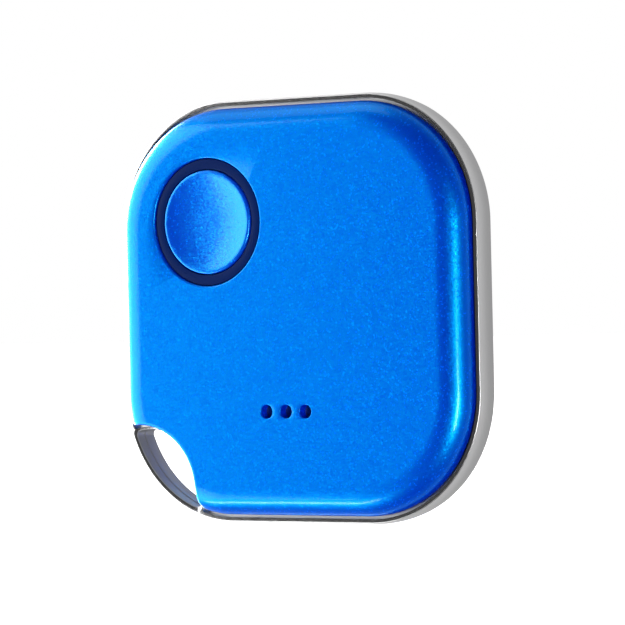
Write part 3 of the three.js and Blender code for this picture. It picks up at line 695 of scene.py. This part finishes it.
def ring_skin():
    """The dark ring round the cap, set back from the face."""
    skin = Skin()
    ease = 0.08
    inner, outer = CAP_RADIUS + 0.08, RING_OUTER - GAP
    top, flange = ring_high[2], ring_high[0] - BUTTON[0]
    shelf = THICK - WALL - GAP
    profile = [(inner, ring_low[2]), (flange, ring_low[2]), (flange, shelf), (outer, shelf),
               *rounded((outer - ease, top - ease), ease, 0, 90),
               *rounded((inner + ease, top - ease), ease, 90, 180)]
    skin.lathe(BUTTON, profile, 160, closed=True)
    return skin


piece("button_dish", cap_skin(), [BUTTON_BLUE], "cap", ["button_cap"])
piece("light_ring", ring_skin(), [NAVY], "case", ["button_ring"])


# ---- coin cell -----------------------------------------------------------------------------
# How thick the cell's steel is.
SHEET = 0.25


def can_shape():
    """The can with its rolled edges and a shallow step pressed into its face."""
    back, shoulder = can_low[2], can_high[2]
    radius = can_high[0] - CELL[0]
    edge, crimp = 0.35, 0.2
    mouth = radius - 0.55
    sunk = back + 0.05
    skin = Skin()
    skin.lathe(CELL, [(0, sunk), (7.4, sunk), (7.6, back + 0.02), (7.75, back),
                      *rounded((radius - edge, back + edge), edge, -90, 0),
                      *rounded((radius - crimp, shoulder - crimp), crimp, 0, 90),
                      (mouth, shoulder), (mouth, back + SHEET), (0, back + SHEET)], 160)
    return skin


def gasket_shape():
    """The sealing ring between can and cap."""
    outer, top, ease, low = gasket_high[0] - CELL[0], gasket_high[2], 0.1, 1.3
    inner = outer - 0.45
    skin = Skin()
    skin.lathe(CELL, [(inner, low), (outer, low), *rounded((outer - ease, top - ease), ease, 0, 90),
                      *rounded((inner + ease, top - ease), ease, 90, 180)], 160, closed=True)
    return skin


def cell_cap_shape():
    """The cell's drawn cap, open towards the can."""
    radius, front, edge, low = cell_top[0] - CELL[0], cell_top[2], 0.35, 1.35
    bend = 0.45
    skin = Skin()
    skin.lathe(CELL, [(radius, low), *rounded((radius - edge, front - edge), edge, 0, 90), (0, front),
                      (0, front - SHEET), (radius - bend, front - SHEET), (radius - SHEET, front - bend),
                      (radius - SHEET, low), (radius, low)], 160)
    return skin


piece("cell_can", can_shape(), [CELL_STEEL], "coin_cell", ["battery_can"])
piece("cell_gasket", gasket_shape(), [RUBBER], "coin_cell", ["battery_gasket"])
piece("cell_cap", cell_cap_shape(), [CELL_STEEL], "coin_cell", ["battery_cap"])


# ---- carrier ---------------------------------------------------------------------------------
CARRIER_BACK, CARRIER_FRONT = 4.2, 4.6
# The inner and outer radius of the wall round the cell.
CELL_WALL = (10.15, 10.75)
# Angles in degrees between which the cell wall is cut away from below, for a contact to pass.
WINDOW = (184, 216)
PLATE_PINS = [(-12.4, 11.5), (7.5, -13.2), (-13.6, -4.5)]


def slab(skin, outline, low, high, holes=(), ease=0.05):
    """A flat plate over an outline, with holes through it and a small bevel round its edge."""
    inset = hit(outline, ORIGIN, THETA, ease)
    edge = hit(outline, ORIGIN, THETA)
    rim = [skin.loop(inset, low), skin.loop(edge, low + ease),
           skin.loop(edge, high - ease), skin.loop(inset, high)]
    skin.strip(*rim)
    tops, bottoms = [], []
    for centre, radius, count in holes:
        ring_at = circle(np.array(centre), radius, count)
        bottoms.append(skin.loop(ring_at, low))
        tops.append(skin.loop(ring_at, high))
        skin.strip(bottoms[-1], tops[-1])
    skin.fill(rim[0], *bottoms)
    skin.fill(rim[-1], *tops)


def arc_wall(skin, centre, radii, heights, start, end):
    """A curved wall between two angles in degrees, closed at both ends."""
    turns = np.radians(np.linspace(start, end, max(4, int(abs(end - start) / 2))))
    rays = np.column_stack([np.cos(turns), np.sin(turns)])
    (inner, outer), (low, high) = radii, heights
    ease = 0.06
    section = [(inner, high), (inner, low + ease), (inner + ease, low), (outer - ease, low),
               (outer, low + ease), (outer, high)]
    rows = []
    for radius, height in section:
        first = len(skin.points)
        skin.points += [(x, y, height) for x, y in centre + radius * rays]
        rows.append(range(first, first + len(turns)))
    for a, b in zip(rows, rows[1:] + rows[:1]):
        skin.faces += [(a[i], a[i + 1], b[i + 1], b[i]) for i in range(len(turns) - 1)]
    skin.faces.append(tuple(row[0] for row in rows))
    skin.faces.append(tuple(row[-1] for row in rows[::-1]))


def carrier_skin():
    """The carrier: its plate, the round cell wall under it and the pins that hold the board."""
    half, corner, button_hole, pin_hole = 16.0, 9.2, 5.3, 0.65
    wall_low, window_low = 1.2, 2.95
    root = CARRIER_BACK + GAP
    skin = Skin()
    plate = cut_square(half, corner, NOTCH_CASE + 1.0, 0.3)
    pin_holes = [(pin, pin_hole, 24) for pin in COVER_PINS]
    slab(skin, plate, CARRIER_BACK, CARRIER_FRONT, [(BUTTON, button_hole, 96), *pin_holes])
    arc_wall(skin, CELL, CELL_WALL, (wall_low, root), WINDOW[1], WINDOW[0] + 360)
    arc_wall(skin, CELL, CELL_WALL, (window_low, root), *WINDOW)
    for pin in PLATE_PINS:
        stake(skin, pin, radius=0.6, head=1.0, low=2.35, high=root, thick=0.3)
    return skin


piece("carrier_frame", carrier_skin(), [GREY], "case", ["carrier"])


# ---- board components ------------------------------------------------------------------------
def block(skin, low, high, kind=0, ease=0.04):
    """A small block, bevelled round its front and back; low and high are lying-down corners."""
    (x0, y0, z0), (x1, y1, z1) = low, high

    def ring_of(inset, z):
        corners = [(x0 + inset, y0 + inset), (x1 - inset, y0 + inset),
                   (x1 - inset, y1 - inset), (x0 + inset, y1 - inset)]
        return skin.loop(corners, z)

    rows = [ring_of(ease, z0), ring_of(0, z0 + ease), ring_of(0, z1 - ease), ring_of(ease, z1)]
    skin.strip(*rows)
    skin.faces += [tuple(rows[0]), tuple(rows[-1])]
    skin.paint(kind)


def leaded_chip(node, per_side):
    """A flat moulded package: body, a row of solder terminals along each side, and a round mark."""
    low, high = box_mm(node)
    first, reach, tall, proud = 0.4, 0.11, 0.16, 0.02
    skin = Skin()
    block(skin, low, high - [0, 0, 0.04], ease=0.07)
    pitch = (high[0] - low[0] - 2 * first) / (per_side - 1)
    seat = high[2]
    for i in range(per_side):
        for axis in (0, 1):
            along = low[axis] + first + i * pitch
            for side in (0, 1):
                a, b = np.zeros(3), np.zeros(3)
                a[axis], b[axis] = along - pitch * 0.27, along + pitch * 0.27
                across = 1 - axis
                edge = (low, high)[side][across]
                a[across], b[across] = edge - reach, edge + reach
                a[2], b[2] = seat - tall, seat + proud
                block(skin, a, b, 1, 0.03)
    corner = np.array([low[0], high[1]])
    mark = corner + 0.16 * np.array([high[0] - low[0], low[1] - high[1]])
    ink, buried = low[2] - 0.006, low[2] + 0.03
    skin.lathe(mark, [(0, ink), (0.2, ink), (0.22, buried), (0, buried)], 24)
    skin.paint(2)
    piece(node + "_package", skin, [PACKAGE, SOLDER, MARK], "case", [node])


def two_ended(node, body, front=False, top=None):
    """A chip with a soldered metal cap at each end; the longer way is along the chip.
    top is the material of a patch between the caps, on the front or the back face."""
    cap, patch, clear = 0.22, 0.03, 0.04
    low, high = box_mm(node)
    skin = Skin()
    long_way = int(high[1] - low[1] > high[0] - low[0])
    inset = np.array([0.03, 0.03, 0.03])
    inset[long_way] = cap * 0.6
    block(skin, low + inset, high - inset)
    for side in (0, 1):
        a, b = low.copy(), high.copy()
        if side == 0:
            b[long_way] = low[long_way] + cap
        else:
            a[long_way] = high[long_way] - cap
        block(skin, a, b, 1, 0.05)
    materials = [body, SOLDER]
    if top:
        face = high[2] if front else low[2]
        a, b = low + inset, high - inset
        a[long_way], b[long_way] = low[long_way] + cap + clear, high[long_way] - cap - clear
        a[2], b[2] = (face - patch, face) if front else (face, face + patch)
        block(skin, a, b, 2, 0.01)
        materials.append(top)
    piece(node + "_chip", skin, materials, "case", [node])


def inside_box(low, high, inset, z_low, z_high):
    """The corners of a box drawn in sideways by inset, between two heights."""
    return [low[0] + inset, low[1] + inset, z_low], [high[0] - inset, high[1] - inset, z_high]


def crystal(node):
    """A crystal: a welded metal lid on a ceramic base with four pads."""
    low, high = box_mm(node)
    back, seat, pad = low[2], high[2], 0.08
    skin = Skin()
    block(skin, *inside_box(low, high, 0, seat - 0.22, seat), 0, 0.03)
    block(skin, *inside_box(low, high, 0.1, back + 0.02, seat - 0.2), 1, 0.08)
    block(skin, *inside_box(low, high, 0.28, back, back + 0.1), 1, 0.02)
    for x in (low[0], high[0]):
        for y in (low[1], high[1]):
            block(skin, [x - pad, y - pad, seat - 0.18], [x + pad, y + pad, seat + 0.02], 2, 0.02)
    piece(node + "_can", skin, [CERAMIC, STEEL, SOLDER], "case", [node])


def antenna():
    """The chip antenna: a ceramic bar with a folded silver track on its face and ends dipped in tin."""
    low, high = box_mm("chip_antenna")
    turns, wide, dipped, side, first = 5, 0.14, 0.45, 0.2, 0.65
    track_low, track_high = low[2] + 0.01, low[2] + 0.06
    left, right = low[0] + side, high[0] - side
    skin = Skin()
    block(skin, low + [0.02, 0.3, 0.03], high - [0.02, 0.3, 0.0])
    for y in (low[1], high[1] - dipped):
        block(skin, [low[0], y, low[2]], [high[0], y + dipped, high[2]], 1, 0.05)
    pitch = (high[1] - low[1] - 2 * first) / turns
    for i in range(turns + 1):
        y = low[1] + first + i * pitch
        block(skin, [left, y - wide / 2, track_low], [right, y + wide / 2, track_high], 1, 0.01)
        if i < turns:
            x = right - wide if i % 2 else left
            block(skin, [x, y, track_low], [x + wide, y + pitch, track_high], 1, 0.01)
    piece("antenna_bar", skin, [CERAMIC, SOLDER], "case", ["chip_antenna"])


def shielded_inductor():
    """The inductor: a ferrite block with a round drum let into its face and two wide terminals."""
    low, high = box_mm("inductor")
    middle = ((low + high) / 2)[:2]
    face, sunk, buried = low[2], low[2] + 0.04, low[2] + 0.2
    drum = (high[1] - low[1]) / 2 - 0.3
    ring_in, ring_out = drum + 0.08, drum + 0.16
    reach, end = 0.1, 0.35
    skin = Skin()
    block(skin, low + [0, 0, 0.06], high, ease=0.18)
    top = [(0, face), (drum - 0.05, face), (drum, face + 0.05), (drum, buried), (0, buried)]
    skin.lathe(middle, top, 40)
    around = [(ring_in, sunk), (ring_out, sunk), (ring_out, buried), (ring_in, buried)]
    skin.lathe(middle, around, 40, closed=True)
    skin.paint(0)
    for x in (low[0], high[0]):
        terminal_low = [x - reach, low[1] + end, high[2] - 0.3]
        terminal_high = [x + reach, high[1] - end, high[2] + 0.02]
        block(skin, terminal_low, terminal_high, 1, 0.03)
    piece("inductor_drum", skin, [FERRITE, SOLDER], "case", ["inductor"])


leaded_chip("radio_chip", 8)
leaded_chip("driver_chip", 4)
crystal("main_crystal")
crystal("clock_crystal")
antenna()
shielded_inductor()
two_ended("status_led", CERAMIC, front=True, top=LED_LENS)
for number in range(1, 7):
    two_ended(f"capacitor_{number}", TAN)
for number in range(1, 5):
    two_ended(f"resistor_{number}", CERAMIC, top=PACKAGE)


# ---- tracks on the board ---------------------------------------------------------------------
def ribbon(skin, route, wide, low, high):
    """A flat raised track along a route of points, mitred at its corners."""
    p = np.array(route, float)
    ahead = np.diff(p, axis=0)
    ahead /= np.hypot(ahead[:, 0], ahead[:, 1])[:, None]
    side = np.column_stack([-ahead[:, 1], ahead[:, 0]])
    joint = np.vstack([side[:1], side[:-1] + side[1:], side[-1:]])
    joint /= (joint * np.vstack([side[:1], side])).sum(axis=1)[:, None]
    left, right = p + joint * wide / 2, p - joint * wide / 2
    rows = []
    for edge, z in ((left, high), (left, low), (right, low), (right, high)):
        first = len(skin.points)
        skin.points += [(x, y, z) for x, y in edge]
        rows.append(range(first, first + len(p)))
    for a, b in zip(rows, rows[1:] + rows[:1]):
        skin.faces += [(a[i], a[i + 1], b[i + 1], b[i]) for i in range(len(p) - 1)]
    skin.faces += [tuple(row[0] for row in rows), tuple(row[-1] for row in rows[::-1])]


# Each route is a printed track's own corners, placed between the parts that it joins.
ROUTES = [
    [(-12.2, 3.0), (-12.2, 3.8)],
    [(-11.0, 3.0), (-11.0, 3.9)],
    [(-13.7, 1.9), (-14.5, 2.3)],
    [(-10.0, 3.0), (-10.0, 4.6), (-7.4, 7.2), (-7.4, 11.4)],
    [(-9.5, 3.0), (-9.0, 3.5), (-9.0, 5.0), (-6.6, 7.4)],
    [(-9.0, 2.2), (-8.6, 2.6)],
    [(-9.0, -3.4), (-8.5, -3.4)],
    [(-8.7, 1.2), (-7.9, 1.2), (-7.9, 2.0)],
    [(-12.6, -2.0), (-12.6, -3.4), (-10.6, -5.4)],
    [(-11.9, -2.0), (-11.9, -3.1), (-9.7, -5.3), (-9.7, -5.8)],
    [(-11.2, -2.0), (-11.2, -2.9), (-8.6, -5.5)],
    [(-13.8, -0.9), (-14.5, -0.9)],
    [(-10.5, -2.0), (-10.5, -2.7), (-7.4, -5.8), (-7.4, -8.6), (-6.6, -9.2)],
    [(-9.8, -2.0), (-9.8, -2.5), (-6.9, -5.4), (-6.9, -8.9), (-4.0, -11.6)],
    [(-9.3, -7.4), (-8.8, -7.9), (-8.8, -9.0)],
    [(-6.3, -10.3), (-5.0, -11.8)],
    [(-2.5, -13.0), (-1.6, -13.0)],
    [(-0.4, -13.5), (0.6, -14.2), (1.9, -14.2)],
    [(0.8, -12.2), (2.0, -12.6)],
    [(4.8, -12.6), (5.9, -11.6)],
    [(4.8, -13.4), (6.3, -13.4)],
    [(3.0, -11.8), (3.0, -11.2)],
    [(-7.9, 13.1), (-7.2, 13.9), (-4.0, 13.9)],
    [(-4.7, 13.1), (-3.4, 14.4), (-0.6, 14.4)],
    [(-13.9, 6.6), (-13.9, 8.2), (-11.8, 10.2)],
    [(-10.6, 6.0), (-10.0, 7.6), (-8.6, 9.0), (-8.6, 12.0)],
]
TEST_PADS = [
    (-10.6, 9.6), (-8.9, 14.1), (-2.4, 13.2), (-12.4, -6.4),
    (-11.3, -8.4), (-5.2, -14.6), (5.7, -14.3),
]
BOARD_BACK = box_mm("circuit_board")[0][2]


def pad_ring(skin, centre, inner, outer, count):
    """A plated ring round a small hole."""
    low, high = BOARD_BACK - 0.025, BOARD_BACK + 0.02
    profile = [(inner, low), (outer, low), (outer, high), (inner, high)]
    skin.lathe(np.array(centre), profile, count, closed=True)


def board_tracks():
    """The copper tracks under the solder mask, with a small plated hole at each end."""
    skin = Skin()
    for route in ROUTES:
        ribbon(skin, route, 0.16, BOARD_BACK - 0.018, BOARD_BACK + 0.02)
        for end in (route[0], route[-1]):
            pad_ring(skin, end, 0.06, 0.17, 20)
    piece("board_tracks", skin, [TRACE], "case", ())


def board_pads():
    """Round gold test pads, and a row of plated holes along the board's outer edge that keeps
    clear of the pins and of the parts at its middle."""
    top, buried = BOARD_BACK - 0.03, BOARD_BACK + 0.02
    row_half, row_corner, clear = 15.35, 8.6, 1.4
    parts_low, parts_high = -2.6, 7.0
    skin = Skin()
    for centre in TEST_PADS:
        skin.lathe(np.array(centre), [(0, top), (0.42, top), (0.45, buried), (0, buried)], 32)
    row = cut_square(row_half, row_corner, NOTCH_CASE + 1.6, 0.3)
    for angle in np.radians(np.arange(106, 262, 5.2)):
        x, y = hit(row, ORIGIN, np.array([angle]))[0]
        nearest = min(math.hypot(x - px, y - py) for px, py in PLATE_PINS + COVER_PINS)
        if nearest > clear and not parts_low < y < parts_high:
            pad_ring(skin, (x, y), 0.1, 0.22, 20)
    piece("board_pads", skin, [GOLD], "case", ())


board_tracks()
board_pads()


# ---- camera, floor and light -------------------------------------------------------------
def direction(azimuth, elevation):
    """Away from the tag, in radians: azimuth 0 is straight in front and a quarter turn is its right."""
    level = math.cos(elevation)
    return Vector((math.sin(azimuth) * level, -math.cos(azimuth) * level, math.sin(elevation)))


def make_camera():
    """The camera stands 33 degrees round to the right, level with the tag and leaning slightly."""
    yaw, pitch, roll = map(math.radians, (33.31, 0.06, 1.32))
    aim_x, aim_y, distance = -1.342, 0.205, 301.09
    view_angle, sensor = math.radians(10), 36
    towards = direction(yaw, pitch)
    level = Vector((math.cos(yaw), math.sin(yaw), 0))
    upright = towards.cross(level)
    right = level * math.cos(roll) - upright * math.sin(roll)
    up = level * math.sin(roll) + upright * math.cos(roll)
    middle = Vector((0, BACK - 4.0, HALF))
    place = (middle + towards * distance - right * aim_x - up * aim_y) * MM
    data = bpy.data.cameras.new("camera")
    data.lens = sensor / 2 / math.tan(view_angle / 2)
    data.sensor_width = sensor
    data.clip_start, data.clip_end = 0.01, 10
    camera = bpy.data.objects.new("camera", data)
    axes = Matrix((right, up, towards)).transposed()
    camera.matrix_world = Matrix.Translation(place) @ axes.to_4x4()
    bpy.context.collection.objects.link(camera)
    bpy.context.scene.camera = camera


def make_floor():
    """A pale ground that only the camera sees."""
    mesh = bpy.data.meshes.new("floor")
    half = 1.5
    corners = [(-half, -half, 0), (half, -half, 0), (half, half, 0), (-half, half, 0)]
    mesh.from_pydata(corners, [], [(0, 1, 2, 3)])
    material, _, principled = shader("pale_floor", (0.5, 0.5, 0.5), 0.7)
    principled.inputs["Emission Color"].default_value = (1, 1, 1, 1)
    principled.inputs["Emission Strength"].default_value = 0.85
    mesh.materials.append(material)
    floor = bpy.data.objects.new("floor", mesh)
    bpy.context.collection.objects.link(floor)
    floor.visible_glossy = False
    floor.visible_diffuse = False
    floor.visible_shadow = False


def make_light(name, azimuth, elevation, distance, wide, high, watts):
    """A soft box that faces the tag. Azimuth 0 is straight in front, 90 to the right."""
    away = direction(math.radians(azimuth), math.radians(elevation))
    data = bpy.data.lights.new(name, "AREA")
    data.shape = "RECTANGLE"
    data.size, data.size_y = wide, high
    data.energy = watts
    light = bpy.data.objects.new(name, data)
    light.location = Vector((0, 0, HALF * MM)) + away * distance
    light.rotation_mode = "QUATERNION"
    light.rotation_quaternion = away.to_track_quat("Z", "Y")
    light.visible_camera = False
    bpy.context.collection.objects.link(light)


# How bright the surroundings are, from straight in front of the tag (0) to straight behind it (1).
WORLD_LEVELS = [(0.0, 0.10), (0.3, 0.08), (0.52, 0.28), (0.78, 1.3), (0.92, 0.6), (1.0, 0.55)]


def make_world():
    """Bright behind the tag and dim in front of it; the camera sees plain white."""
    world = bpy.data.worlds.new("studio")
    bpy.context.scene.world = world
    world.use_nodes = True
    tree = world.node_tree
    background = tree.nodes["Background"]
    background.inputs["Color"].default_value = (1, 1, 1, 1)
    coordinates = tree.nodes.new("ShaderNodeTexCoord")
    split = tree.nodes.new("ShaderNodeSeparateXYZ")
    tree.links.new(coordinates.outputs["Generated"], split.inputs["Vector"])
    height = tree.nodes.new("ShaderNodeMapRange")
    height.inputs["From Min"].default_value = -1.0
    tree.links.new(split.outputs["Y"], height.inputs["Value"])
    ramp = tree.nodes.new("ShaderNodeValToRGB")
    tree.links.new(height.outputs["Result"], ramp.inputs["Fac"])
    stops = ramp.color_ramp.elements
    for place, _ in WORLD_LEVELS[1:-1]:
        stops.new(place)
    for stop, (place, level) in zip(stops, WORLD_LEVELS):
        stop.position = place
        stop.color = (level, level, level, 1)
    path = tree.nodes.new("ShaderNodeLightPath")
    seen = tree.nodes.new("ShaderNodeMix")
    tree.links.new(path.outputs["Is Camera Ray"], seen.inputs["Factor"])
    tree.links.new(ramp.outputs["Color"], seen.inputs["A"])
    seen.inputs["B"].default_value = 1.0
    tree.links.new(seen.outputs["Result"], background.inputs["Strength"])


make_camera()
make_floor()
make_world()
make_light("key_left", -70, 0, 0.6, 0.7, 1.0, 11.3)
make_light("rim_left", -118, 0, 0.5, 0.40, 0.5, 20.0)
make_light("strip_right", 48, -14, 0.45, 0.045, 0.19, 2.0)
make_light("strip_below", -51, -46, 0.45, 0.24, 0.035, 0.75)
make_light("top_left", -80, 62, 0.5, 0.3, 0.3, 0.6)
bpy.context.scene.view_settings.view_transform = "Standard"
